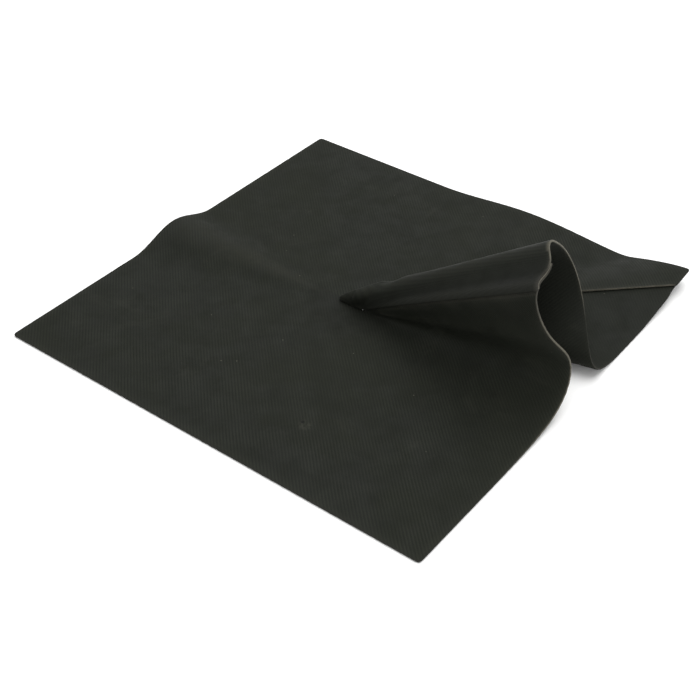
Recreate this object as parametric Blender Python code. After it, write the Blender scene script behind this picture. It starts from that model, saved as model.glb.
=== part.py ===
# Outside-corner flashing for a rubber membrane.
# A square sheet is slit from its middle towards one corner, and a quarter of a square
# of the same sheet is bonded into the slit. The extra sheet stands up as a hollow
# conical pleat that opens along +X. Metres, +Z up, origin at the middle of the square
# in its underside plane.
import bpy
import numpy as np

# Driving dimensions
SIDE = 0.300             # side of the square sheet
SHEET = 0.0013           # thickness of the rubber sheet
BOND = 0.0004            # thickness of the cured seam gum
BOND_GAP = 0.0003        # clearance between a bond and the sheet either side of it
UNDERCUT = 0.0015        # the gusset stops this far short of the base's side
STOP_HOLE = 0.0080       # radius of the stop hole at the slit's inner end
HOLE_FRONT = 0.0008      # the hole's straight front side lies this far from the middle
HOLE_REAR = 0.0040       # and its rear side this far, from the beak's far edge on
NOSE_ROW = 0.0140        # the beak ends and the cone starts at this radius
NOSE_INNER = 0.0055      # and at this one along the gusset's front edge
TIP_REACH = 0.0155       # how far the gusset's beak laps past the middle, along -X
CREASE = 0.0012          # the beak's front bulges this much behind the tip facet
CRIMP = 0.0016           # the crown sinks this much just behind the beak
CORNER_POWER = 170       # higher gives a sharper corner on the square

# Angles round the sheet, in degrees of flat sheet, counted from the corner at -45 deg.
# A flat square has 360 of them, and the inserted quarter makes it 450.
TOTAL = 450.0
REAR_SLIT = 176.3        # the base's rear edge of the slit, over the gusset
FRONT_SLIT = 91.3        # the base's front edge of the slit, under the gusset
FRONT_EDGE = 77.7        # the gusset's front edge, over the base
REAR_EDGE = 184.5        # the gusset's rear edge, under the base
GUSSET_CUT = 0.1365      # distance from the middle to the gusset's straight outer cut
CUT_SQUARE_TO = 118.6    # the direction that cut is square to

# The pleat's line as seen from the middle: (azimuth, elevation) of the points that pull
# a smooth curve up the near wall, over the top and down the far wall.
PLEAT_PULLS = [
    (-60, 0), (-45, 0), (-30, 0), (-17, 0), (-3, 2), (2, 13.5), (-10, 23.5),
    (-17, 36.5), (-14, 37), (5, 35), (5.5, 41), (24.5, 30), (26.5, 13.5), (10, 8),
    (9, 1), (29, -1.5), (45.5, 4), (54.5, -1.5), (75, 0), (90, 0)]

RELAX = 0.10             # how much the bends open out towards the middle, metre degrees
NOSE_HEIGHT = 0.0170     # how far the pleat's blunt nose stands over the sharp cone
NOSE_WIDTH = 0.0020      # how far that nose pushes the far wall out
NOSE_FROM = 76.0         # the nose's arch springs here on the near wall
NOSE_TO = 148.0          # and lands here at the foot of the far wall
# Soft waves in the flat part: (centre, half width, height at the edge)
WAVES = [(318.6, 14.0, 0.0090), (212.0, 28.0, 0.0052)]
# The near wall stands up and the top comes forward: (amount per metre of radius, centre,
# half width), along one direction
LEAN_WAY = np.array((-0.41, 0.69, -0.60))
LEANS = [(0.14, 75.0, 23.0), (-0.12, 97.0, 21.0)]

RUBBER = (0.030, 0.031, 0.028, 1.0)
GUM = (0.016, 0.016, 0.015, 1.0)

LAP = SHEET + BOND + 2 * BOND_GAP


def clearScene():
    for item in list(bpy.data.objects):
        bpy.data.objects.remove(item, do_unlink=True)


def smoothStep(value, start, end):
    part = np.clip((value - start) / (end - start), 0.0, 1.0)
    return part * part * (3.0 - 2.0 * part)


def hump(value, centre, half):
    return 0.5 + 0.5 * np.cos(np.pi * np.clip((value - centre) / half, -1.0, 1.0))


def unit(vectors):
    return vectors / np.linalg.norm(vectors, axis=-1, keepdims=True)


def pullCurve(pulls, count):
    # uniform cubic B-spline: the smooth curve that the points pull along
    pulls = np.array(pulls, float)
    place = np.linspace(1.0, len(pulls) - 2.0, count) - 1e-9
    knot = np.floor(place).astype(int)
    f = place - knot
    weights = np.stack([(1 - f) ** 3, 3 * f ** 3 - 6 * f ** 2 + 4,
                        -3 * f ** 3 + 3 * f ** 2 + 3 * f + 1, f ** 3], axis=1) / 6.0
    return sum(weights[:, [k]] * pulls[knot + k - 1] for k in range(4))


def wayRun(rise):
    # directions round the sheet with the pleat's heights scaled by rise, and the degrees
    # of flat sheet that they use up
    curve = pullCurve(PLEAT_PULLS, 3000)
    start, stop = curve[0, 0], curve[-1, 0]
    flat = np.linspace(stop, start + 360.0, 1500)[1:]
    azimuth = np.radians(np.concatenate([curve[:, 0], flat]))
    height = np.radians(np.concatenate([curve[:, 1] * rise, 0 * flat]))
    height = 0.5 * (height + np.sqrt(height * height + 1e-6))
    ways = np.stack([np.cos(height) * np.cos(azimuth), np.cos(height) * np.sin(azimuth),
                     np.sin(height)], axis=1)
    steps = np.linalg.norm(np.diff(ways, axis=0), axis=1)
    run = np.degrees(np.concatenate([[0.0], np.cumsum(steps)]))
    return ways, run, start + 45.0


def directionLoop(samples):
    # the unit directions of the sheet round its middle, at equal steps of flat sheet,
    # starting at the corner at -45 degrees. The pleat rises just as far as the inserted
    # quarter lets it.
    low, high = 0.6, 1.5
    for _ in range(40):
        rise = 0.5 * (low + high)
        ways, run, first = wayRun(rise)
        low, high = (rise, high) if run[-1] < TOTAL else (low, rise)
    wanted = np.arange(samples) * TOTAL / samples
    run = run + first
    ways = np.stack([np.interp(wanted, run, ways[:, k], period=TOTAL) for k in range(3)], axis=1)
    return unit(ways)


LOOP = directionLoop(1800)
WIDTHS = np.linspace(0.0, 24.0, 13)


def relaxedLoops():
    # the same loop with its bends opened out by each of WIDTHS, in degrees
    spectrum = np.fft.rfft(LOOP, axis=0)
    waves = np.arange(len(spectrum))[:, None] * 2 * np.pi / TOTAL
    loops = [np.fft.irfft(spectrum * np.exp(-0.5 * (waves * width) ** 2), len(LOOP), axis=0)
             for width in WIDTHS]
    return np.stack([unit(loop) for loop in loops])


RELAXED = relaxedLoops()


def looked(table, width, angle):
    # table value at a bend-opening width and an angle, both arrays
    row = np.clip(width / (WIDTHS[1] - WIDTHS[0]), 0, len(WIDTHS) - 1.001)
    low = np.floor(row).astype(int)
    rowPart = (row - low)[..., None]
    place = (angle % TOTAL) / TOTAL * len(LOOP)
    left = np.floor(place).astype(int) % len(LOOP)
    right = (left + 1) % len(LOOP)
    part = (place - np.floor(place))[..., None]
    first = table[low, left] * (1 - part) + table[low, right] * part
    second = table[low + 1, left] * (1 - part) + table[low + 1, right] * part
    return first * (1 - rowPart) + second * rowPart


def surface(radius, angle):
    # the underside of the sheet: a general cone, with the pleat's nose rounded and
    # soft waves in the flat part
    width = RELAX / np.maximum(radius, 0.002)
    turn = angle % TOTAL
    arch = np.pi * np.clip((turn - NOSE_FROM) / (NOSE_TO - NOSE_FROM), 0.0, 1.0)
    fade = np.clip(1.0 - radius / (0.5 * SIDE), 0.0, 1.0)
    points = unit(looked(RELAXED, width, angle)) * radius[..., None]
    push = NOSE_WIDTH * (1.0 - np.cos(arch)) * (1.0 - smoothStep(turn, NOSE_TO, REAR_SLIT - 6.0))
    points[..., 1] = points[..., 1] + push * fade
    points[..., 2] = points[..., 2] + NOSE_HEIGHT * np.sin(arch) ** 1.5 * fade
    for amount, centre, half in LEANS:
        points = points + LEAN_WAY * (amount * radius * hump(turn, centre, half))[..., None]
    for centre, half, height in WAVES:
        rise = height * radius / (0.5 * SIDE) * smoothStep(radius, 0.016, 0.060)
        rise = rise * hump(angle % TOTAL, centre, half)
        points[..., 2] = points[..., 2] + rise
    points[..., 2] = np.maximum(points[..., 2], 0.0)
    return points


def normals(radius, angle):
    # outward direction of the surface, from small steps along and round it
    round_ = surface(radius, angle + 0.5) - surface(radius, angle - 0.5)
    along = surface(radius + 0.0005, angle) - surface(np.maximum(radius - 0.0005, 0.0), angle)
    return unit(np.cross(along, round_))


def squareReach(angle):
    # distance from the middle to the square's side, with slightly rounded corners
    turn = np.radians(angle % 90.0 - 45.0)
    sides = np.abs(np.cos(turn)) ** CORNER_POWER + np.abs(np.sin(turn)) ** CORNER_POWER
    return 0.5 * SIDE / sides ** (1.0 / CORNER_POWER)


def gussetReach(angle):
    # a straight cut across the pleat, then the square's own side from the valley on
    cut = GUSSET_CUT / np.cos(np.radians(np.clip(angle - CUT_SQUARE_TO, -60, 60)))
    side = squareReach(angle) - UNDERCUT * smoothStep(angle, REAR_SLIT - 3.0, REAR_SLIT)
    return np.where(angle < 125.0, cut, np.minimum(cut, side))


def baseReach(angle):
    # the base's front flap is trimmed flush with the gusset that covers it
    turn = angle % TOTAL
    flap = (turn > FRONT_EDGE) & (turn < FRONT_SLIT + 1.0)
    return np.where(flap, np.minimum(squareReach(turn), gussetReach(turn)), squareReach(turn))


def gussetInner(angle):
    # the cone starts closer to the middle along the gusset's front edge
    return NOSE_INNER + (NOSE_ROW - NOSE_INNER) * smoothStep(angle, 80.0, 98.0)


def baseInner(angle):
    # the stop hole: round at the rear, straight along the front where the beak covers it
    azimuth = np.radians(angle - TOTAL - 45.0)
    straight = HOLE_FRONT / np.maximum(np.abs(np.sin(azimuth)), 0.02)
    cap = STOP_HOLE + (0.0040 - STOP_HOLE) * smoothStep(np.degrees(azimuth), -120.0, -60.0)
    front = np.minimum(straight, cap)
    flap = 0.0040 + (0.0125 - 0.0040) * smoothStep(angle, TOTAL + 66.0, TOTAL + 90.0)
    behind = np.minimum(HOLE_REAR / np.maximum(np.abs(np.sin(azimuth)), 0.02), STOP_HOLE)
    behind = STOP_HOLE + (behind - STOP_HOLE) * smoothStep(angle, REAR_EDGE, REAR_EDGE + 24.0)
    inner = np.where(angle < TOTAL - 135.0, behind, front)
    return np.where(angle > TOTAL + 45.0, flap, inner)


def slab(name, under, over, colour, roughness):
    # one closed sheet between two grids of points: both faces and the four edges
    rows, cols = under.shape[:2]
    index = np.arange(rows * cols).reshape(rows, cols)
    top = index + rows * cols
    faces = []
    for i in range(rows - 1):
        for j in range(cols - 1):
            faces.append((top[i, j], top[i + 1, j], top[i + 1, j + 1], top[i, j + 1]))
            faces.append((index[i, j], index[i, j + 1], index[i + 1, j + 1], index[i + 1, j]))
    for i in range(rows - 1):
        faces.append((index[i, 0], index[i + 1, 0], top[i + 1, 0], top[i, 0]))
        faces.append((index[i + 1, -1], index[i, -1], top[i, -1], top[i + 1, -1]))
    for j in range(cols - 1):
        faces.append((index[0, j + 1], index[0, j], top[0, j], top[0, j + 1]))
        faces.append((index[-1, j], index[-1, j + 1], top[-1, j + 1], top[-1, j]))
    points = np.concatenate([under.reshape(-1, 3), over.reshape(-1, 3)])
    mesh = bpy.data.meshes.new(name)
    mesh.from_pydata(points.tolist(), [], [tuple(int(v) for v in face) for face in faces])
    mesh.update()
    material = bpy.data.materials.new(name)
    material.use_nodes = True
    shader = material.node_tree.nodes["Principled BSDF"]
    shader.inputs["Base Color"].default_value = colour
    shader.inputs["Roughness"].default_value = roughness
    shader.inputs["Metallic"].default_value = 0.0
    mesh.materials.append(material)
    item = bpy.data.objects.new(name, mesh)
    bpy.context.scene.collection.objects.link(item)
    mesh.shade_smooth()
    mesh.set_sharp_from_angle(angle=np.radians(40.0))
    return item


RINGS = np.array((0.014, 0.020, 0.028, 0.040, 0.058))


def polarGrid(angles, inner, reach):
    # radius and angle of every grid point, from the inner radius out to the cut edge.
    # Every layer has the same rings near the middle, so that their facets stay parallel.
    # The inner radius may follow the angle; then the rings after the first two are shared.
    count = len(angles)
    if callable(inner):
        first = inner(angles)
        rings = RINGS[RINGS > first.max() + 0.001]
        near = np.stack([first, 0.5 * (first + rings[0])])
    else:
        rings = RINGS[RINGS >= inner - 1e-6]
        near = np.zeros((0, count)) if abs(rings[0] - inner) < 1e-6 else np.full((1, count), inner)
    outer = reach(angles)[None, :]
    share = np.array((0.25, 0.5, 0.75, 1.0))[:, None]
    beyond = rings[-1] + (outer - rings[-1]) * share
    radius = np.concatenate([near, np.repeat(rings[:, None], count, axis=1), beyond])
    return radius, np.broadcast_to(angles[None, :], radius.shape).copy()


def steps(*stops):
    # angles from stop to stop at the given steps: (angle, step), ..., last angle
    runs = []
    for (start, step), after in zip(stops[:-1], stops[1:]):
        end = after[0]
        runs.append(np.linspace(start, end, max(int(round((end - start) / step)), 1) + 1)[:-1])
    return np.concatenate(runs + [[stops[-1][0]]])


def layered(radius, angle, low, thick):
    base = surface(radius, angle)
    outward = normals(radius, angle)
    return base + outward * low[..., None], base + outward * (low + thick)[..., None]


def makeBase():
    angles = steps((REAR_SLIT, 2.0), (REAR_EDGE, 1.5), (REAR_EDGE + 9.0, 5.0), (TOTAL - 1.5, 1.5),
                   (TOTAL + 1.5, 5.0), (TOTAL + 30.0, 2.5), (TOTAL + FRONT_EDGE, 2.1),
                   (TOTAL + FRONT_SLIT, 0.0))
    radius, angle = polarGrid(angles, baseInner, baseReach)
    over = LAP * (1.0 - smoothStep(angle, REAR_EDGE + 0.8, REAR_EDGE + 8.0))
    over = over * smoothStep(radius, 0.012, 0.028)
    low = np.where(angle < TOTAL, over, 0.0)
    under, top = layered(radius, angle, low, SHEET)
    return slab("base_sheet", under, top, RUBBER, 0.75)


def gussetLow(angle):
    return LAP * (1.0 - smoothStep(angle, FRONT_SLIT + 1.5, FRONT_SLIT + 14.0))


def gussetGrid():
    angles = steps((FRONT_EDGE, 2.1), (FRONT_SLIT, 2.5), (REAR_SLIT, 2.0), (REAR_EDGE, 0.0))
    radius, angle = polarGrid(angles, gussetInner, gussetReach)
    # near the middle the rear lap shrinks back to the slit
    tuck = (REAR_EDGE - REAR_SLIT + 2.5) * (1.0 - smoothStep(radius, 0.028, 0.060))
    angle = angle - tuck * smoothStep(angle, 150.0, REAR_SLIT)
    crimp = CRIMP * hump(radius, 0.023, 0.013) * hump(angle, 108.0, 18.0)
    cone, coneTop = layered(radius, angle, gussetLow(angle) - crimp, SHEET)
    # the beak: from the first row of the cone down to its pointed end on the base
    first = cone[0]
    share = np.linspace(0.0, 1.0, 9)[:-1, None]
    crown = hump(angles, 104.0, 34.0)
    power = 1.7 - 0.85 * crown
    rear = smoothStep(angles, 116.0, 136.0)
    spread = 0.0016 - 0.0022 * smoothStep(angles, FRONT_EDGE, REAR_EDGE)
    x = -TIP_REACH + (first[:, 0] + TIP_REACH) * share
    y = -spread + (first[:, 1] + spread) * share ** (1.0 + 2.6 * rear)
    crease = smoothStep(share, 0.40, 0.58) * (1.0 - smoothStep(share, 0.70, 1.0))
    y = y - CREASE * crease * hump(angles, 96.0, 15.0)
    z = LAP + (first[:, 2] - LAP) * share ** power
    flat = LAP + (first[:, 2] - LAP) * smoothStep(share, 0.38, 0.72)
    z = z * (1.0 - rear) + flat * rear
    beak = np.stack([x, y, z], axis=2)
    return np.concatenate([beak, cone]), len(beak), coneTop


def makeGusset():
    under, beakRows, coneTop = gussetGrid()
    along = np.gradient(under, axis=0)
    around = np.gradient(under, axis=1)
    outward = unit(np.cross(along, around))
    outward[0] = (0.0, 0.0, 1.0)
    top = under + outward * SHEET
    top[beakRows:] = coneTop
    return slab("corner_gusset", under, top, RUBBER, 0.75)


def makeLapBond(name, angles, inner, reach):
    radius, angle = polarGrid(angles, inner, lambda a: reach(a) - 0.002)
    low = np.full(radius.shape, SHEET + BOND_GAP)
    under, top = layered(radius, angle, low, BOND)
    return slab(name, under, top, GUM, 0.85)


def makeTipBond():
    # a small kite of gum between the beak's edges and the base
    x = np.linspace(-TIP_REACH + 0.001, -STOP_HOLE - 0.001, 4)[:, None]
    half = 0.06 * (x + TIP_REACH) + 0.0003
    side = np.linspace(-1.0, 1.0, 4)[None, :]
    under = np.stack([x + 0 * side, half * side, 0 * x * side + SHEET + BOND_GAP], axis=2)
    return slab("tip_bond", under, under + np.array((0.0, 0.0, BOND)), GUM, 0.85)


clearScene()
makeBase()
makeGusset()
# the front bond has the columns of the sheets that it joins. It is set back from the
# gusset's edge and stops short of the kink.
frontColumns = steps((FRONT_EDGE, 2.1), (FRONT_SLIT, 0.0))[1:5]
makeLapBond("front_lap_bond", frontColumns, 0.020, gussetReach)
makeLapBond("rear_lap_bond", np.linspace(REAR_SLIT + 0.6, REAR_EDGE - 0.6, 5), 0.058, gussetReach)
makeTipBond()
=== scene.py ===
import bpy
import math
import numpy as np
from mathutils import Matrix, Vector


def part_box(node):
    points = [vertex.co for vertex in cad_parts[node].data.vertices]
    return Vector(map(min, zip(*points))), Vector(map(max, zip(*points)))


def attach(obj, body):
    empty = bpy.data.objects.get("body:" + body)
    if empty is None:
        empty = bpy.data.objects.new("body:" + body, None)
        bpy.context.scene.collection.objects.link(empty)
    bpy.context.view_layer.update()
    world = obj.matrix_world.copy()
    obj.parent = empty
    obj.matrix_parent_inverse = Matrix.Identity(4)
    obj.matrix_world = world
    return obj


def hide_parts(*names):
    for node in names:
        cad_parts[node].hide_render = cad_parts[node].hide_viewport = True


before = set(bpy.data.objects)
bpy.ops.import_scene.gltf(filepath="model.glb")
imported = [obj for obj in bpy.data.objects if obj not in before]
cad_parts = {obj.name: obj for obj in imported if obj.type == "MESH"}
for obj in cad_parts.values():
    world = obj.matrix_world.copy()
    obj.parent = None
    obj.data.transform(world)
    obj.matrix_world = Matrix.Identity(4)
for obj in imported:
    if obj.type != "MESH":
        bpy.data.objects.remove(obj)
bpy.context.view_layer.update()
baseLow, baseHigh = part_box("base_sheet")
squareSide = round(float(baseHigh[0] - baseLow[0]), 4)  # the flat square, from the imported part
halfSide = squareSide / 2
print("frame loaded, square side", squareSide)


viewSetup = {
    "place": (0.38582, -0.51879, 0.48786),  # metres from the middle of the sheet
    "tiltDown": 38.85,                   # degrees below the horizon
    "turn": 37.19,                       # degrees round from straight along +Y
    "roll": 0.30,
    "lens": 66.88,                       # mm on a 36 mm wide sensor
}
camData = bpy.data.cameras.new("viewCamera")
camData.lens = viewSetup["lens"]
camData.sensor_width = 36.0
camData.clip_start = 0.01
camera = bpy.data.objects.new("viewCamera", camData)
camera.location = viewSetup["place"]
aim = [Matrix.Rotation(math.radians(turn), 3, axis) for turn, axis in
       ((viewSetup["turn"], "Z"), (90 - viewSetup["tiltDown"], "X"), (viewSetup["roll"], "Z"))]
camera.rotation_euler = (aim[0] @ aim[1] @ aim[2]).to_euler()
bpy.context.scene.collection.objects.link(camera)
bpy.context.scene.camera = camera

studio = {
    "worldColor": (1.0, 1.0, 1.0), "worldStrength": 0.75,
    "topSize": 1.3, "topPower": 13.4, "topPlace": (0.05, 0.18, 1.20),
    "backSize": 0.8, "backPower": 1.6, "backPlace": (-0.55, 0.95, 0.80),
    "fillSize": 0.9, "fillPower": 3.2, "fillPlace": (0.75, -0.80, 0.55),
    "floorSize": 6.0, "floorColor": (0.95, 0.95, 0.945),
}


def areaLight(name, place, size, power):
    # a square soft light that faces the middle of the sheet
    light = bpy.data.lights.new(name, "AREA")
    light.shape = "SQUARE"
    light.size = size
    light.energy = power
    lamp = bpy.data.objects.new(name, light)
    lamp.location = place
    away = np.array(place, float)
    flatRun = math.hypot(away[0], away[1])
    lamp.rotation_euler = (math.atan2(flatRun, away[2]), 0, math.atan2(away[0], -away[1]))
    bpy.context.scene.collection.objects.link(lamp)
    return lamp


areaLight("topSoftbox", studio["topPlace"], studio["topSize"], studio["topPower"])
areaLight("backSoftbox", studio["backPlace"], studio["backSize"], studio["backPower"])
areaLight("fillSoftbox", studio["fillPlace"], studio["fillSize"], studio["fillPower"])
world = bpy.data.worlds.new("studioWorld")
bpy.context.scene.world = world
world.use_nodes = True
world.node_tree.nodes["Background"].inputs["Color"].default_value = studio["worldColor"] + (1.0,)
world.node_tree.nodes["Background"].inputs["Strength"].default_value = studio["worldStrength"]
bpy.context.scene.view_settings.view_transform = "Standard"

floorMesh = bpy.data.meshes.new("paleFloor")
reach = studio["floorSize"] / 2
floorMesh.from_pydata([(-reach, -reach, 0), (reach, -reach, 0), (reach, reach, 0),
                       (-reach, reach, 0)], [], [(0, 1, 2, 3)])
floorItem = bpy.data.objects.new("paleFloor", floorMesh)
floorItem.location = (0, 0, -0.0004)
bpy.context.scene.collection.objects.link(floorItem)
floorPaint = bpy.data.materials.new("palePaper")
floorPaint.use_nodes = True
floorShader = floorPaint.node_tree.nodes["Principled BSDF"]
floorShader.inputs["Base Color"].default_value = studio["floorColor"] + (1.0,)
floorShader.inputs["Roughness"].default_value = 0.85
floorShader.inputs["Specular IOR Level"].default_value = 0.2
floorMesh.materials.append(floorPaint)
print("camera, light and floor ready")


sheetStock = {
    "thickness": 0.0013,
    "bondLine": 0.0006,     # gum between two lapped sheets
    "edgeRound": 0.00022,   # the soft arris of a cut edge
    "cornerPower": 170.0,   # higher gives sharper corners on the square
    "cutWobble": 0.00010,   # how far a knife cut strays
}
lapStep = sheetStock["thickness"] + sheetStock["bondLine"]

# angles are degrees of flat sheet round the middle, from the corner at -45 degrees;
# the square has 360 of them and the quarter let in makes 450
layout = {
    "total": 450.0,
    "rearSlit": 176.3,      # the base's edge over the gusset
    "frontSlit": 91.3,      # the base's edge under the gusset, where the pleat's rim kinks
    "frontEdge": 77.7,      # the gusset's edge over the base
    "rearEdge": 184.5,      # the gusset's edge under the base
    "gussetCut": 0.1365,    # distance from the middle to the gusset's straight cut
    "cutSquareTo": 118.6,
    "stopHole": 0.0080,
    "holeFront": 0.0008,    # the hole's straight front side, hidden by the beak
    "holeRear": 0.0040,     # and its rear side
    "tipReach": 0.0150,     # how far the beak laps past the middle
    "noseRow": 0.0140,      # the beak ends and the cone starts here
    "noseInner": 0.0055,    # and here along the gusset's front edge
}

pleat = {
    # points that pull the pleat's line: azimuth and elevation seen from the middle
    "pulls": [(-60, 0), (-45, 0), (-30, 0), (-17, 0), (-3, 2), (2, 13.5), (-10, 23.5),
              (-17, 36.5), (-14, 37), (5, 35), (5.5, 41), (24.5, 30), (26.5, 13.5), (10, 8),
              (9, 1), (29, -1.5), (45.5, 4), (54.5, -1.5), (75, 0), (90, 0)],
    "relax": 0.10,          # bends open out towards the middle, metre degrees
    "noseHeight": 0.0170,
    "noseWidth": 0.0020,
    "noseFrom": 76.0,
    "noseTo": 148.0,
    # the near wall stands up and the top comes forward: (amount per metre of radius,
    # centre, half width), along one way
    "leanWay": (-0.41, 0.69, -0.60),
    "leans": [(0.14, 75.0, 23.0), (-0.12, 97.0, 21.0)],
    # soft waves in the flat part: centre, half width, height at the edge
    "waves": [(318.6, 14.0, 0.0090), (212.0, 28.0, 0.0052)],
}


def smoothStep(value, start, end):
    # 3p^2 - 2p^3 of the part p of the way from start to end
    part = np.clip((value - start) / (end - start), 0.0, 1.0)
    return part * part * (3.0 - 2.0 * part)


def hump(value, centre, half):
    # a raised cosine, 1 at the centre and 0 from half a width out
    return 0.5 + 0.5 * np.cos(np.pi * np.clip((value - centre) / half, -1.0, 1.0))


def unit(vectors):
    return vectors / (np.linalg.norm(vectors, axis=-1, keepdims=True) + 1e-15)


def pullCurve(pulls, count):
    # uniform cubic B-spline: each point is the weighted mean of the four nearest pulls
    pulls = np.array(pulls, float)
    place = np.linspace(1.0, len(pulls) - 2.0, count) - 1e-9
    knot = np.floor(place).astype(int)
    f = place - knot
    weights = np.stack([(1 - f) ** 3, 3 * f ** 3 - 6 * f ** 2 + 4,
                        -3 * f ** 3 + 3 * f ** 2 + 3 * f + 1, f ** 3], axis=1) / 6.0
    return sum(weights[:, [k]] * pulls[knot + k - 1] for k in range(4))


def wayRun(rise):
    # unit directions round the sheet with the pleat's heights times rise, and the running
    # length of that line in degrees
    curve = pullCurve(pleat["pulls"], 4000)
    start, stop = curve[0, 0], curve[-1, 0]
    flat = np.linspace(stop, start + 360.0, 2000)[1:]
    azimuth = np.radians(np.concatenate([curve[:, 0], flat]))
    height = np.radians(np.concatenate([curve[:, 1] * rise, 0 * flat]))
    height = 0.5 * (height + np.sqrt(height * height + 1e-6))
    ways = np.stack([np.cos(height) * np.cos(azimuth), np.cos(height) * np.sin(azimuth),
                     np.sin(height)], axis=1)
    steps = np.linalg.norm(np.diff(ways, axis=0), axis=1)
    return ways, np.degrees(np.concatenate([[0.0], np.cumsum(steps)])), start + 45.0


def directionLoop(samples):
    # the line of directions at equal steps of flat sheet: rise is halved in on until the
    # line is exactly as long as the square and the quarter let in
    low, high = 0.6, 1.5
    for _ in range(40):
        rise = 0.5 * (low + high)
        ways, run, first = wayRun(rise)
        low, high = (rise, high) if run[-1] < layout["total"] else (low, rise)
    wanted = np.arange(samples) * layout["total"] / samples
    return unit(np.stack([np.interp(wanted, run + first, ways[:, k], period=layout["total"])
                          for k in range(3)], axis=1))


wayLoop = directionLoop(3600)
relaxWidths = np.linspace(0.0, 24.0, 13)
waySpectrum = np.fft.rfft(wayLoop, axis=0)
wayWaves = np.arange(len(waySpectrum))[:, None] * 2 * np.pi / layout["total"]
relaxedLoops = np.stack([unit(np.fft.irfft(waySpectrum * np.exp(-0.5 * (wayWaves * width) ** 2),
                                           len(wayLoop), axis=0)) for width in relaxWidths])


def wayAt(width, angle):
    # the direction at an angle, with bends opened out by width: a blend of the two
    # nearest relaxed lines
    row = np.clip(width / (relaxWidths[1] - relaxWidths[0]), 0, len(relaxWidths) - 1.001)
    low = np.floor(row).astype(int)
    rowPart = (row - low)[..., None]
    place = (angle % layout["total"]) / layout["total"] * len(wayLoop)
    left = np.floor(place).astype(int) % len(wayLoop)
    right = (left + 1) % len(wayLoop)
    part = (place - np.floor(place))[..., None]
    first = relaxedLoops[low, left] * (1 - part) + relaxedLoops[low, right] * part
    second = relaxedLoops[low + 1, left] * (1 - part) + relaxedLoops[low + 1, right] * part
    return unit(first * (1 - rowPart) + second * rowPart)


def surfaceAt(radius, angle):
    # underside of the sheet: radius times direction, plus a blunt arch that fades out
    # along the pleat, plus the soft waves of the flat part
    turn = angle % layout["total"]
    arch = np.pi * np.clip((turn - pleat["noseFrom"]) / (pleat["noseTo"] - pleat["noseFrom"]), 0, 1)
    fade = np.clip(1.0 - radius / halfSide, 0.0, 1.0)
    points = wayAt(pleat["relax"] / np.maximum(radius, 0.002), angle) * radius[..., None]
    push = pleat["noseWidth"] * (1.0 - np.cos(arch))
    push = push * (1.0 - smoothStep(turn, pleat["noseTo"], layout["rearSlit"] - 6.0))
    points[..., 1] += push * fade
    points[..., 2] += pleat["noseHeight"] * np.sin(arch) ** 1.5 * fade
    for amount, centre, half in pleat["leans"]:
        points += np.array(pleat["leanWay"]) * (amount * radius * hump(turn, centre, half))[..., None]
    for centre, half, height in pleat["waves"]:
        rise = height * radius / halfSide * smoothStep(radius, 0.018, 0.085)
        points[..., 2] += rise * hump(turn, centre, half)
    points[..., 2] = np.maximum(points[..., 2], 0.0)
    return points


def outwardAt(radius, angle):
    # the surface's outward direction: cross product of a step along and a step round
    roundStep = surfaceAt(radius, angle + 0.4) - surfaceAt(radius, angle - 0.4)
    alongStep = surfaceAt(radius + 0.0004, angle) - surfaceAt(np.maximum(radius - 0.0004, 0.0), angle)
    return unit(np.cross(alongStep, roundStep))


def squareReach(angle):
    # distance to the square's side: half side over the p-norm of the direction, which
    # rounds the corners a little, with the slow wander of a knife cut
    turn = np.radians(angle % 90.0 - 45.0)
    power = sheetStock["cornerPower"]
    norm = (np.abs(np.cos(turn)) ** power + np.abs(np.sin(turn)) ** power) ** (1.0 / power)
    wander = np.sin(angle * 3.1) + 0.6 * np.sin(angle * 7.7 + 1.0) + 0.4 * np.sin(angle * 17.3 + 2.0)
    return halfSide / norm - sheetStock["cutWobble"] * (1.0 + 0.5 * wander)


def gussetReach(angle):
    # a straight cut across the pleat, then the square's own side from the valley on
    cut = layout["gussetCut"] / np.cos(np.radians(np.clip(angle - layout["cutSquareTo"], -60, 60)))
    under = 0.0015 * smoothStep(angle, layout["rearSlit"] - 3.0, layout["rearSlit"])
    return np.where(angle < 125.0, cut, np.minimum(cut, squareReach(angle) - under))


def baseReach(angle):
    # the base's front flap is trimmed flush with the gusset that covers it
    turn = angle % layout["total"]
    flap = (turn > layout["frontEdge"]) & (turn < layout["frontSlit"] + 1.0)
    return np.where(flap, np.minimum(squareReach(turn), gussetReach(turn) - 0.0006), squareReach(turn))


def gussetInner(angle):
    # the cone starts closer to the middle along the gusset's front edge
    return layout["noseInner"] + (layout["noseRow"] - layout["noseInner"]) * smoothStep(angle, 80.0, 98.0)


def baseInner(angle):
    # the stop hole: round at the rear, a straight line along the front under the beak
    azimuth = np.radians(angle - layout["total"] - 45.0)
    straight = layout["holeFront"] / np.maximum(np.abs(np.sin(azimuth)), 0.02)
    narrowed = smoothStep(np.degrees(azimuth), -120.0, -60.0)
    cap = layout["stopHole"] + (0.0040 - layout["stopHole"]) * narrowed
    flap = 0.0040 + 0.0085 * smoothStep(angle, layout["total"] + 66.0, layout["total"] + 90.0)
    behind = layout["holeRear"] / np.maximum(np.abs(np.sin(azimuth)), 0.02)
    behind = np.minimum(behind, layout["stopHole"])
    squared = smoothStep(angle, layout["rearEdge"], layout["rearEdge"] + 24.0)
    behind = layout["stopHole"] + (behind - layout["stopHole"]) * squared
    inner = np.where(angle < layout["total"] - 135.0, behind, np.minimum(straight, cap))
    return np.where(angle > layout["total"] + 45.0, flap, inner)


def gussetLift(angle):
    # the gusset's height over the underside: a lap step at the front, none from the pleat on
    front = layout["frontSlit"]
    return lapStep * (1.0 - smoothStep(angle, front + 1.0, front + 13.0))


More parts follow.
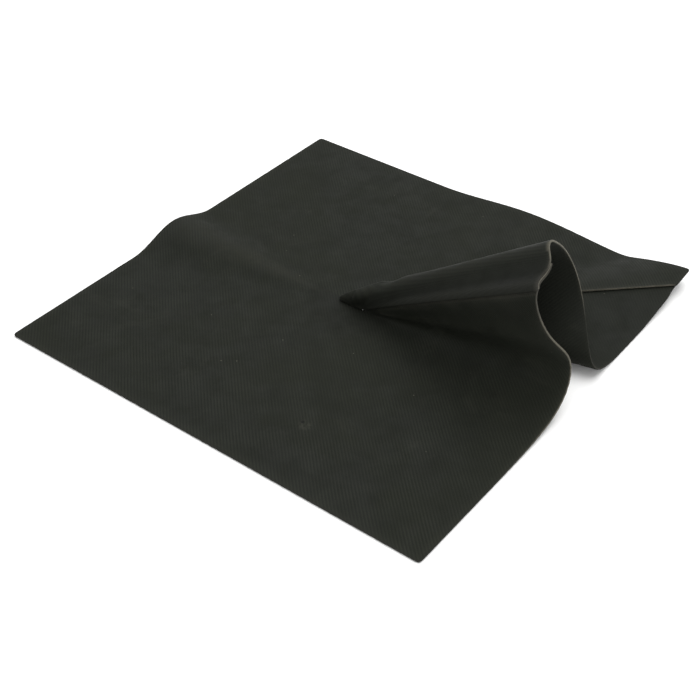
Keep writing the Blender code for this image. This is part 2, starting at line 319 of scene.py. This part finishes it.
def spaced(*stops):
    # angles from stop to stop at the given steps: (angle, step), ..., (last angle, 0)
    runs = [np.linspace(a[0], b[0], max(int(round((b[0] - a[0]) / a[1])), 1) + 1)[:-1]
            for a, b in zip(stops[:-1], stops[1:])]
    return np.concatenate(runs + [[stops[-1][0]]])


# metres in from a cut edge where extra grid lines stand, to carry the arris
arrisSteps = np.array((0.0, 0.00004, 0.00010, 0.00017, 0.00026, 0.0006))


def sheetHalf(distance):
    # half thickness near a cut edge: a quarter circle of the arris radius
    e = sheetStock["edgeRound"]
    near = np.clip(distance, 0.0, e)
    return sheetStock["thickness"] / 2 - e + np.sqrt(np.maximum(e * e - (e - near) ** 2, 0.0))


def sheetObject(name, middle, outward, half, flatPlace, marks, materials, cutEnds=True):
    # a closed sheet: the middle surface pushed out both ways by half the thickness along
    # the outward direction, joined by a strip round its four edges
    rows, cols = middle.shape[:2]
    over = middle + outward * half[..., None]
    under = middle - outward * half[..., None]
    points = np.concatenate([over.reshape(-1, 3), under.reshape(-1, 3)])
    top = np.arange(rows * cols).reshape(rows, cols)
    low = top + rows * cols

    def quads(a, b, c, d):
        return np.stack([a.ravel(), b.ravel(), c.ravel(), d.ravel()], axis=1)

    skin = [quads(top[:-1, :-1], top[1:, :-1], top[1:, 1:], top[:-1, 1:]),
            quads(low[:-1, :-1], low[:-1, 1:], low[1:, 1:], low[1:, :-1])]
    rim = [quads(low[:-1, 0], low[1:, 0], top[1:, 0], top[:-1, 0]),
           quads(low[1:, -1], low[:-1, -1], top[:-1, -1], top[1:, -1]),
           quads(low[0, 1:], low[0, :-1], top[0, :-1], top[0, 1:]),
           quads(low[-1, :-1], low[-1, 1:], top[-1, 1:], top[-1, :-1])]
    faces = np.concatenate(skin + rim)
    skinCount = sum(len(part) for part in skin)
    mesh = bpy.data.meshes.new(name)
    mesh.vertices.add(len(points))
    mesh.vertices.foreach_set("co", points.astype(np.float32).ravel())
    mesh.loops.add(faces.size)
    mesh.loops.foreach_set("vertex_index", faces.astype(np.int32).ravel())
    mesh.polygons.add(len(faces))
    mesh.polygons.foreach_set("loop_start", np.arange(0, faces.size, 4, dtype=np.int32))
    mesh.polygons.foreach_set("loop_total", np.full(len(faces), 4, dtype=np.int32))
    mesh.update(calc_edges=True)
    mesh.validate()
    uv = np.concatenate([flatPlace.reshape(-1, 2)] * 2)
    layer = mesh.uv_layers.new(name="flatSheet")
    layer.data.foreach_set("uv", uv[faces.ravel()].astype(np.float32).ravel())
    for key, values in marks.items():
        layer = mesh.attributes.new(key, "FLOAT", "POINT")
        layer.data.foreach_set("value", np.concatenate([values.ravel()] * 2).astype(np.float32))
    for material in materials:
        mesh.materials.append(material)
    slots = np.zeros(len(faces), dtype=np.int32)
    # all four edges are cut, or only the outer one
    slots[skinCount if cutEnds else len(faces) - (cols - 1):] = len(materials) - 1
    mesh.polygons.foreach_set("material_index", slots)
    mesh.shade_smooth()
    mesh.set_sharp_from_angle(angle=math.radians(50))
    item = bpy.data.objects.new(name, mesh)
    bpy.context.scene.collection.objects.link(item)
    return item


rubberLook = {
    "deepColor": (0.0036, 0.0044, 0.0030),   # clean rubber
    "paleColor": (0.0082, 0.0092, 0.0064),   # rubber with a trace of talc
    "dustColor": (0.060, 0.059, 0.047),
    "ribPitch": 0.0018,         # twill ribs of the liner that the sheet was cured on
    "ribDepth": 0.00008,
    "roughness": (0.62, 0.85),
    "specular": 0.13,
    "baseRibs": 0.50,           # how much paler the ribs are on each piece
    "gussetRibs": 0.26,
    # darkness of the lap band: partly wiped talc, partly painted shade
    "wipedAndShadeDark": 0.55,
    "patchPale": 0.09,
    # how much of the pale cut colour spreads onto the rounded arris: painted highlight along the edges
    "arrisPaleAndHighlight": 0.50,
    "speckScale": 120.0,        # cells per metre, one in five has a speck
    "scuffAt": (0.0388, -0.1045, 0.0013),
}
cutLook = {
    "oldColor": (0.0085, 0.0088, 0.0070),   # the sheet's own sides
    "freshLitColor": (0.085, 0.080, 0.062),   # the knife cut round the pleat, pale partly by painted highlight
    # brighter streaks of the cut; the pale cut colours are partly painted highlight
    "brightColor": (0.130, 0.121, 0.095),
    "seamSmearAndShade": 0.85,       # how much of a cut edge in the darker lap band goes to gum colour: partly gum smear, partly painted shade along the front seam
    "roughness": 0.9,
}
gumLook = {"color": (0.006, 0.006, 0.0055), "roughness": 0.38}


class Nodes:
    # short hand for wiring up one material's nodes
    def __init__(self, name):
        self.material = bpy.data.materials.new(name)
        self.material.use_nodes = True
        self.tree = self.material.node_tree
        self.shader = self.tree.nodes["Principled BSDF"]

    def feed(self, socket, value):
        if isinstance(value, bpy.types.NodeSocket):
            self.tree.links.new(value, socket)
        elif value is not None:
            socket.default_value = value

    def math(self, operation, a, b=None, c=None, clamp=False):
        node = self.tree.nodes.new("ShaderNodeMath")
        node.operation = operation
        node.use_clamp = clamp
        for socket, value in zip(node.inputs, (a, b, c)):
            self.feed(socket, value)
        return node.outputs[0]

    def noise(self, vector, scale, detail=3.0, rough=0.5, distortion=0.0):
        node = self.tree.nodes.new("ShaderNodeTexNoise")
        node.inputs["Scale"].default_value = scale
        node.inputs["Detail"].default_value = detail
        node.inputs["Roughness"].default_value = rough
        node.inputs["Distortion"].default_value = distortion
        self.feed(node.inputs["Vector"], vector)
        return node.outputs["Fac"]

    def ramp(self, value, low, high, start=0.0, end=1.0, smooth=True):
        # value from low to high becomes start to end
        node = self.tree.nodes.new("ShaderNodeMapRange")
        node.interpolation_type = "SMOOTHSTEP" if smooth else "LINEAR"
        node.inputs["From Min"].default_value = low
        node.inputs["From Max"].default_value = high
        node.inputs["To Min"].default_value = start
        node.inputs["To Max"].default_value = end
        self.feed(node.inputs["Value"], value)
        return node.outputs["Result"]

    def blend(self, part, first, second):
        node = self.tree.nodes.new("ShaderNodeMix")
        node.data_type = "RGBA"
        for socket, value in ((node.inputs[0], part), (node.inputs[6], first), (node.inputs[7], second)):
            if isinstance(value, tuple):
                value = value + (1.0,)
            self.feed(socket, value)
        return node.outputs[2]

    def attribute(self, name):
        node = self.tree.nodes.new("ShaderNodeAttribute")
        node.attribute_name = name
        return node.outputs["Fac"]

    def bump(self, height, strength, distance, under=None):
        node = self.tree.nodes.new("ShaderNodeBump")
        node.inputs["Strength"].default_value = strength
        node.inputs["Distance"].default_value = distance
        self.feed(node.inputs["Height"], height)
        self.feed(node.inputs["Normal"], under)
        return node.outputs["Normal"]

    def coordinates(self, kind):
        return self.tree.nodes.new("ShaderNodeTexCoord").outputs[kind]


def cutTone(n, place):
    # the colour of a cut: darker on the old sides, pale and streaked where it is fresh; that paleness is
    # partly the cut's own tone and partly painted highlight
    drag = n.noise(place, 900.0, 4.0, 0.65)
    blotch = n.noise(place, 130.0, 3.0, 0.5)
    tone = n.math("ADD", n.math("MULTIPLY", drag, 0.5), n.math("MULTIPLY", blotch, 0.5))
    freshAndLit = n.blend(n.ramp(tone, 0.35, 0.65), cutLook["freshLitColor"], cutLook["brightColor"])
    tone = n.blend(n.attribute("freshCutAndHighlight"), cutLook["oldColor"], freshAndLit)
    # cut edges in the darker lap band go to gum colour: partly gum smear, partly painted shade
    smearAndShade = n.math("MULTIPLY", n.attribute("wipedAndShade"), cutLook["seamSmearAndShade"])
    return n.blend(smearAndShade, tone, gumLook["color"]), drag


def rubberMaterial(name, ribShow, scuffAt=None):
    n = Nodes(name)
    place = n.coordinates("Object")
    flat = n.coordinates("UV")
    split = n.tree.nodes.new("ShaderNodeSeparateXYZ")
    n.feed(split.inputs[0], flat)
    # twill: a sine across the diagonal ribs, broken up by a weaker one along them
    turn = 2 * math.pi / rubberLook["ribPitch"] / math.sqrt(2.0)
    drift = n.math("MULTIPLY", n.noise(flat, 14.0, 2.0), 0.0022)
    over = n.math("ADD", n.math("ADD", split.outputs[0], split.outputs[1]), drift)
    alongRib = n.math("SUBTRACT", split.outputs[0], split.outputs[1])
    ribs = n.math("SINE", n.math("MULTIPLY", over, turn))
    slanted = n.math("ADD", alongRib, n.math("MULTIPLY", over, 0.5))
    breaks = n.math("SINE", n.math("MULTIPLY", slanted, turn * 1.6))
    weave = n.math("ADD", n.math("MULTIPLY", ribs, 0.72), n.math("MULTIPLY", breaks, 0.34))
    weave = n.ramp(weave, -0.80, 0.85)
    uneven = n.ramp(n.noise(flat, 55.0, 3.0), 0.30, 0.70, 0.50, 1.0)
    weave = n.math("MULTIPLY", weave, uneven)
    cloud = n.noise(place, 11.0, 5.0, 0.62, 0.6)
    mottle = n.noise(place, 75.0, 5.0, 0.6, 0.3)
    grain = n.noise(flat, 2600.0, 2.0, 0.6)
    talc = n.math("MULTIPLY", n.ramp(cloud, 0.38, 0.66), n.ramp(mottle, 0.25, 0.75, 0.55, 1.0))
    color = n.blend(talc, rubberLook["deepColor"], rubberLook["paleColor"])
    # threads catch a little more of the talc than the hollows between them
    ribPale = n.math("MULTIPLY", weave, ribShow)
    color = n.blend(ribPale, color, tuple(2.5 * c for c in rubberLook["paleColor"]))
    grainPale = n.ramp(grain, 0.40, 0.70, 0.0, 0.35)
    color = n.blend(grainPale, color, tuple(2.8 * c for c in rubberLook["paleColor"]))
    # darker round the laps: partly wiped clean of talc, partly painted shade on the pleat's near wall,
    # along the front lap and round the middle
    wipedAndShade = n.math("MULTIPLY", n.attribute("wipedAndShade"), n.ramp(mottle, 0.30, 0.62, 0.70, 1.0))
    wipedAndShade = n.math("MULTIPLY", wipedAndShade, rubberLook["wipedAndShadeDark"])
    color = n.blend(wipedAndShade, color, tuple(0.42 * c for c in rubberLook["paleColor"]))
    patch = n.ramp(n.noise(place, 26.0, 6.0, 0.7, 0.9), 0.55, 0.78)
    patch = n.math("MULTIPLY", patch, rubberLook["patchPale"])
    color = n.blend(patch, color, rubberLook["dustColor"])
    # rubbed edges and bends are paler
    worn = n.math("MULTIPLY", n.attribute("edgeWearAndHighlight"), n.ramp(mottle, 0.30, 0.70, 0.25, 1.0))
    worn = n.math("MULTIPLY", worn, n.math("MULTIPLY_ADD", n.attribute("freshCutAndHighlight"), 0.24, 0.06))
    color = n.blend(worn, color, rubberLook["dustColor"])
    # the pale cut colour spreads onto the rounded arris of edges marked fresh: painted highlight along
    # those edges
    arris = n.math("MULTIPLY", n.ramp(n.attribute("edgeWearAndHighlight"), 0.70, 0.93), n.attribute("freshCutAndHighlight"))
    color = n.blend(n.math("MULTIPLY", arris, rubberLook["arrisPaleAndHighlight"]), color, cutTone(n, place)[0])
    # specks of dust: small dots at one cell in five
    cell = n.tree.nodes.new("ShaderNodeTexVoronoi")
    cell.inputs["Scale"].default_value = rubberLook["speckScale"]
    n.feed(cell.inputs["Vector"], flat)
    pick = n.tree.nodes.new("ShaderNodeSeparateColor")
    n.feed(pick.inputs[0], cell.outputs["Color"])
    dot = n.ramp(cell.outputs["Distance"], 0.055, 0.020)
    dot = n.math("MULTIPLY", dot, n.ramp(pick.outputs[0], 0.80, 0.84))
    color = n.blend(n.math("MULTIPLY", dot, 0.55), color, tuple(2.6 * c for c in rubberLook["dustColor"]))
    if scuffAt is not None:
        # a small dark spot with a pale rub beside it
        for offset, size, strength, tone in (((0.0026, -0.0012, 0), 0.0055, 0.22, rubberLook["dustColor"]),
                                             ((0, 0, 0), 0.0017, 0.90, (0.002, 0.002, 0.002))):
            away = n.tree.nodes.new("ShaderNodeVectorMath")
            away.operation = "DISTANCE"
            n.feed(away.inputs[0], place)
            away.inputs[1].default_value = tuple(a + b for a, b in zip(scuffAt, offset))
            mark = n.math("MULTIPLY", n.ramp(away.outputs["Value"], size, size * 0.35), strength)
            mark = n.math("MULTIPLY", mark, n.ramp(n.noise(place, 420.0, 3.0), 0.40, 0.58, 0.15, 1.0))
            color = n.blend(mark, color, tone)
    n.feed(n.shader.inputs["Base Color"], color)
    rough = n.ramp(n.math("ADD", n.math("MULTIPLY", cloud, 0.6), n.math("MULTIPLY", mottle, 0.4)),
                   0.35, 0.65, *rubberLook["roughness"])
    rough = n.math("ADD", rough, n.math("MULTIPLY", dot, 0.2), clamp=True)
    n.feed(n.shader.inputs["Roughness"], rough)
    n.shader.inputs["Specular IOR Level"].default_value = rubberLook["specular"]
    soft = n.bump(n.noise(place, 42.0, 3.0, 0.5), 0.12, 0.0012)
    fine = n.bump(grain, 0.30, 0.00005, soft)
    n.feed(n.shader.inputs["Normal"], n.bump(weave, 0.75, rubberLook["ribDepth"], fine))
    return n.material


def cutMaterial(name):
    # the knife-cut edge: paler, partly by painted highlight, rough, with fine drag marks along the cut
    n = Nodes(name)
    place = n.coordinates("Object")
    tone, drag = cutTone(n, place)
    n.feed(n.shader.inputs["Base Color"], tone)
    n.shader.inputs["Roughness"].default_value = cutLook["roughness"]
    n.shader.inputs["Specular IOR Level"].default_value = 0.25
    n.feed(n.shader.inputs["Normal"], n.bump(drag, 0.6, 0.0001))
    return n.material


def gumMaterial(name):
    # cured seam gum: near black, smoother than the sheet, with little pits
    n = Nodes(name)
    place = n.coordinates("Object")
    lump = n.noise(place, 420.0, 4.0, 0.6)
    tone = n.ramp(lump, 0.35, 0.70)
    color = n.blend(tone, gumLook["color"], tuple(2.2 * c for c in gumLook["color"]))
    n.feed(n.shader.inputs["Base Color"], color)
    n.feed(n.shader.inputs["Roughness"], n.ramp(lump, 0.3, 0.7, gumLook["roughness"], 0.62))
    n.feed(n.shader.inputs["Normal"], n.bump(lump, 0.7, 0.00015))
    return n.material


baseRubber = rubberMaterial("baseRubber", rubberLook["baseRibs"], rubberLook["scuffAt"])
gussetRubber = rubberMaterial("gussetRubber", rubberLook["gussetRibs"])
cutRubber = cutMaterial("cutRubber")
seamGum = gumMaterial("seamGum")
print("finishes ready")



def edgeDistance(points, outer):
    # shortest of the running lengths from the two side edges and the inner end, and the
    # given distance from the outer cut
    across = np.linalg.norm(np.diff(points, axis=1), axis=2)
    fromStart = np.concatenate([np.zeros((len(points), 1)), np.cumsum(across, axis=1)], axis=1)
    along = np.linalg.norm(np.diff(points, axis=0), axis=2)
    fromInner = np.concatenate([np.zeros((1, points.shape[1])), np.cumsum(along, axis=0)], axis=0)
    return np.minimum.reduce([fromStart, fromStart[:, -1:] - fromStart, fromInner, outer])


def bendWear(points, outward):
    # how strongly the sheet bends outwards: turn of the outward direction per metre round
    across = np.linalg.norm(np.diff(points, axis=1), axis=2)
    turned = np.einsum("ijk,ijk->ij", np.diff(outward, axis=1), np.diff(points, axis=1))
    bend = turned / np.maximum(across, 1e-5) ** 2
    bend = np.concatenate([bend, bend[:, -1:]], axis=1)
    return np.clip(bend / 90.0, 0.0, 1.0)


def flatPlaceOf(radius, angle):
    # where a point lies in the flat square: radius and angle as plane coordinates. The front
    # flap is about an eighth wider here than a flat square gives, so its angles are scaled
    # down until the whole base counts as 360 degrees
    front = layout["total"] + 45.0
    slack = (layout["rearSlit"] + 360.0 - front) / (layout["total"] + layout["frontSlit"] - front)
    turn = np.radians(np.where(angle > front, front + (angle - front) * slack, angle) - 135.0)
    return np.stack([radius * np.cos(turn), radius * np.sin(turn)], axis=-1)


def flatAreaOf(flatPlace):
    # half the cross product of each cell's diagonals, summed
    first = flatPlace[1:, 1:] - flatPlace[:-1, :-1]
    second = flatPlace[:-1, 1:] - flatPlace[1:, :-1]
    return float(np.abs(first[..., 0] * second[..., 1] - first[..., 1] * second[..., 0]).sum() / 2)


def polarTable(angles, innerOf, reachOf, rows):
    # radius and angle of each grid point: extra columns at fixed distances from the side
    # edges, and extra rows at fixed distances from the two ends
    steps = arrisSteps
    middle = np.linspace(0.0, 1.0, rows + 2)[1:-1]
    middle = middle ** 1.25
    count = len(steps)
    first, last = angles[0], angles[-1]

    def spreadAt(angle):
        # the fixed distances as angles, at each row's radius along one side edge
        inner = float(innerOf(np.array([angle]))[0])
        line = np.concatenate([inner + steps, inner + steps[-1] + (halfSide - inner) * middle,
                               halfSide - steps[::-1]])
        return np.degrees(steps[None, :] / line[:, None])

    startSpread, stopSpread = spreadAt(first), spreadAt(last)
    inside = angles[1:-1]
    pushed = inside + startSpread[:, -1:] * (1 - smoothStep(inside - first, 0.0, 14.0)) \
        - stopSpread[:, -1:] * (1 - smoothStep(last - inside, 0.0, 14.0))
    angle = np.concatenate([first + startSpread, pushed, last - stopSpread[:, ::-1]], axis=1)
    reachTable, inner = reachOf(angle), innerOf(angle)
    start, stop = inner + steps[-1], reachTable - steps[-1]
    radius = np.concatenate([
        inner[:count] + steps[:, None],
        start[count:-count] + (stop - start)[count:-count] * middle[:, None],
        reachTable[-count:] - steps[::-1, None]])
    return radius, angle, reachTable


def baseLift(radius, angle):
    # the base rides up over the gusset along the rear lap, and lies flat elsewhere
    over = lapStep * (1.0 - smoothStep(angle, layout["rearEdge"] + 0.8, layout["rearEdge"] + 8.0))
    return np.where(angle < layout["total"], over * smoothStep(radius, 0.012, 0.028), 0.0)


def makeBaseSheet():
    total = layout["total"]
    angles = spaced((layout["rearSlit"], 0.8), (179.0, 0.15), (181.0, 0.7), (196.0, 1.2), (269.0, 0.15),
                    (271.0, 1.2), (300.0, 0.9), (359.0, 0.15), (361.0, 1.2), (total - 1.0, 0.15),
                    (total + 1.0, 1.0), (total + 30.0, 0.6), (total + layout["frontEdge"], 0.5),
                    (total + layout["frontSlit"], 0.0))
    radius, angle, reachTable = polarTable(angles, baseInner, baseReach, 72)
    outward = outwardAt(radius, angle)
    low = baseLift(radius, angle)
    under = surfaceAt(radius, angle) + outward * low[..., None]
    middle = under + outward * sheetStock["thickness"] / 2
    turn = np.radians(angle % 90.0 - 45.0)
    outer = (reachTable - radius) * np.cos(turn)
    distance = edgeDistance(middle, outer)
    # nearness to a cut edge and outward bends: rubbed wear, and through the arris painted highlight
    wearAndHighlight = np.maximum(np.exp(-distance / 0.0016), 0.8 * bendWear(middle, outward))
    flatPlace = flatPlaceOf(radius, angle)
    sides = smoothStep(angle, total + 12.0, total + 40.0)
    marks = {
        "edgeWearAndHighlight": wearAndHighlight,
        # how fresh and pale each cut is, set partly as painted highlight: the slit edges and the front
        # flap's rim are painted pale
        "freshCutAndHighlight": np.where(outer < 0.002, 0.12 + 0.88 * sides, np.where(radius < 0.02, 0.0, 0.9)),
        # darker band on the front flap by the front lap and round the middle: partly wiped talc, partly
        # painted shade
        "wipedAndShade": np.maximum(smoothStep(angle, total + 58.0, total + 80.0) * 0.8,
                            (1.0 - smoothStep(radius, 0.010, 0.045)) * (angle > total - 140.0)),
    }
    item = sheetObject("baseSheet", middle, outward, sheetHalf(distance), flatPlace, marks,
                       [baseRubber, cutRubber])
    return item, flatAreaOf(flatPlace)


baseSheet, baseArea = makeBaseSheet()
print("base sheet made, flat area", round(baseArea, 5))


beakSetup = {
    "rows": 34,
    "crownAt": 104.0, "crownHalf": 34.0,
    "frontPower": 1.7, "crownPower": 0.85,
    "rearFrom": 116.0, "rearTo": 136.0,
    "rearDrop": (0.38, 0.72),
    "tipFront": 0.0016, "tipRear": 0.0006,
    "crease": 0.0014,       # the front bulges this much behind the tip facet
    "crimp": 0.0016,        # the crown sinks this much just behind the beak
}


def makeBeak(first, angles):
    # the beak before the nose row: straight in plan from that row to the tip. The height
    # is a power of the share of the way, lower over the crown, and at the rear it drops
    # away in a smooth step. A crease bulges the front behind the tip facet.
    b = beakSetup
    share = np.linspace(0.0, 1.0, b["rows"] + 1)[:-1, None] ** 0.9
    tip = layout["tipReach"]
    crown = hump(angles, b["crownAt"], b["crownHalf"])
    power = b["frontPower"] - (b["frontPower"] - b["crownPower"]) * crown
    rear = smoothStep(angles, b["rearFrom"], b["rearTo"])
    across = smoothStep(angles, layout["frontEdge"], layout["rearEdge"])
    spread = b["tipFront"] - (b["tipFront"] + b["tipRear"]) * across
    x = -tip + (first[:, 0] + tip) * share
    y = -spread + (first[:, 1] + spread) * share ** (1.0 + 2.6 * rear)
    crease = smoothStep(share, 0.42, 0.54) * (1.0 - smoothStep(share, 0.66, 1.0))
    y = y - b["crease"] * crease * hump(angles, 96.0, 15.0)
    z = lapStep + (first[:, 2] - lapStep) * share ** power
    drop = lapStep + (first[:, 2] - lapStep) * smoothStep(share, *b["rearDrop"])
    z = z * (1.0 - rear) + drop * rear
    return np.stack([x, y, z], axis=2), share


def makeCornerGusset():
    angles = spaced((layout["frontEdge"], 0.45), (layout["frontSlit"], 0.6), (110.0, 0.45), (120.0, 0.35),
                    (130.0, 0.45), (150.0, 0.6), (layout["rearSlit"], 0.5), (layout["rearEdge"], 0.0))
    radius, angle, reachTable = polarTable(angles, gussetInner, gussetReach, 74)
    radius, angle, reachTable = radius[5:], angle[5:], reachTable[5:]
    # near the middle the rear lap shrinks back to the slit
    tuck = (layout["rearEdge"] - layout["rearSlit"] + 2.5) * (1.0 - smoothStep(radius, 0.028, 0.060))
    angle = angle - tuck * smoothStep(angle, 150.0, layout["rearSlit"])
    outward = outwardAt(radius, angle)
    crimp = beakSetup["crimp"] * hump(radius, 0.023, 0.013) * hump(angle, 108.0, 18.0)
    under = surfaceAt(radius, angle) + outward * (gussetLift(angle) - crimp)[..., None]
    beak, share = makeBeak(under[0], angle[0])
    whole = np.concatenate([beak, under])
    measured = unit(np.cross(np.gradient(whole, axis=0), np.gradient(whole, axis=1)))
    measured[0] = (0.0, 0.0, 1.0)
    beakRows = len(beak)
    use = np.clip((np.arange(len(whole)) - beakRows) / 6.0, 0.0, 1.0)[:, None, None]
    outward = unit(measured * (1.0 - use) + np.concatenate([measured[:beakRows], outward]) * use)
    middle = whole + outward * sheetStock["thickness"] / 2
    incidence = np.where(angle < 125.0, angle - layout["cutSquareTo"], angle % 90.0 - 45.0)
    outer = (reachTable - radius) * np.cos(np.radians(incidence))
    outer = np.concatenate([np.full(beak.shape[:2], 1.0), outer])
    distance = edgeDistance(middle, outer)
    # nearness to a cut edge and outward bends: rubbed wear, and through the arris painted highlight
    wearAndHighlight = np.maximum(np.exp(-distance / 0.0016), bendWear(middle, outward))
    # the beak continues the flat sheet along its crown, drawn in towards the tip
    crownTurn = math.radians(layout["cutSquareTo"] - 135.0)
    turn = np.radians(angle[0] - 135.0) - crownTurn
    nose = radius[0]
    lengthwise = nose * np.cos(turn) - (1.0 - share) * 0.027
    crosswise = nose * np.sin(turn) * (0.15 + 0.85 * share)
    beakFlat = np.stack([lengthwise * math.cos(crownTurn) - crosswise * math.sin(crownTurn),
                         lengthwise * math.sin(crownTurn) + crosswise * math.cos(crownTurn)], axis=2)
    flatPlace = np.concatenate([beakFlat, flatPlaceOf(radius, angle)])
    around = np.concatenate([np.repeat(angle[:1], beakRows, axis=0), angle])
    marks = {
        "edgeWearAndHighlight": wearAndHighlight,
        # how fresh and pale each cut is, set partly as painted highlight: the pleat's straight cut is
        # painted pale
        "freshCutAndHighlight": np.where(outer < 0.002, 0.12 + 0.88 * (1.0 - smoothStep(around, 126.0, 134.0)), 0.05),
        # darker band on the pleat's near wall up to the front lap: partly wiped talc, partly painted shade
        "wipedAndShade": 1.0 - smoothStep(around, 84.0, 99.0),
    }
    item = sheetObject("cornerGusset", middle, outward, sheetHalf(distance), flatPlace, marks,
                       [gussetRubber, cutRubber])
    size = flatPlace.reshape(-1, 2).max(axis=0) - flatPlace.reshape(-1, 2).min(axis=0)
    return item, flatAreaOf(flatPlace), size


cornerGusset, gussetArea, gussetSize = makeCornerGusset()
print("corner gusset made, flat area", round(gussetArea, 5), "cut from", np.round(gussetSize, 4))


gumSetup = {
    "clear": 0.00005,      # kept off the rubber either side
    "setBack": 0.0003,     # gum stops this far inside the outer cut
    "rows": 40,
}


def gumStrip(name, start, stop, inner, reachOf, columns=15):
    # a ribbon between the lapped sheets, from one angle to another
    angles = np.linspace(start, stop, columns)
    reachTable = reachOf(angles) - gumSetup["setBack"]
    share = np.linspace(0.0, 1.0, gumSetup["rows"])[:, None]
    radius = inner + (reachTable - inner) * share
    angle = np.repeat(angles[None, :], len(radius), axis=0)
    outward = outwardAt(radius, angle)
    thick = sheetStock["bondLine"] - 2 * gumSetup["clear"]
    middle = surfaceAt(radius, angle) + outward * (sheetStock["thickness"] + sheetStock["bondLine"] / 2)
    # the gum's outer end takes the pale cut finish, so it carries the same painted highlight as the cut
    # edges
    marks = {"edgeWearAndHighlight": np.zeros(radius.shape), "freshCutAndHighlight": np.ones(radius.shape)}
    return sheetObject(name, middle, outward, np.full(radius.shape, thick / 2),
                       flatPlaceOf(radius, angle), marks, [seamGum, cutRubber], cutEnds=False)


def tipGumPiece(name):
    # a narrow kite of gum under the beak's edges
    along = np.linspace(-layout["tipReach"] + 0.0008, -layout["stopHole"] - 0.0008, 12)[:, None]
    side = np.linspace(-1.0, 1.0, 9)[None, :]
    half = 0.06 * (along + layout["tipReach"]) + 0.0005
    height = sheetStock["thickness"] + sheetStock["bondLine"] / 2
    middle = np.stack([along + 0 * side, half * side, 0 * along * side + height], axis=2)
    outward = np.zeros(middle.shape)
    outward[..., 2] = 1.0
    thick = sheetStock["bondLine"] - 2 * gumSetup["clear"]
    return sheetObject(name, middle, outward, np.full(middle.shape[:2], thick / 2), middle[..., :2],
                       {"edgeWearAndHighlight": np.zeros(middle.shape[:2])}, [seamGum])


frontLapGum = gumStrip("frontLapGum", layout["frontEdge"] + 0.25, layout["frontSlit"] - 0.3,
                       0.018, gussetReach)
rearLapGum = gumStrip("rearLapGum", layout["rearSlit"] + 0.25, layout["rearEdge"] - 0.4,
                      0.058, gussetReach)
tipGum = tipGumPiece("tipGum")
print("seam gum made")


pieceTable = ((baseSheet, "base_sheet", "rubber_sheet"),
              (cornerGusset, "corner_gusset", "rubber_sheet"),
              (frontLapGum, "front_lap_bond", "seam_gum"),
              (rearLapGum, "rear_lap_bond", "seam_gum"),
              (tipGum, "tip_bond", "seam_gum"))
for piece, node, slot in pieceTable:
    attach(piece, "root")
    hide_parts(node)
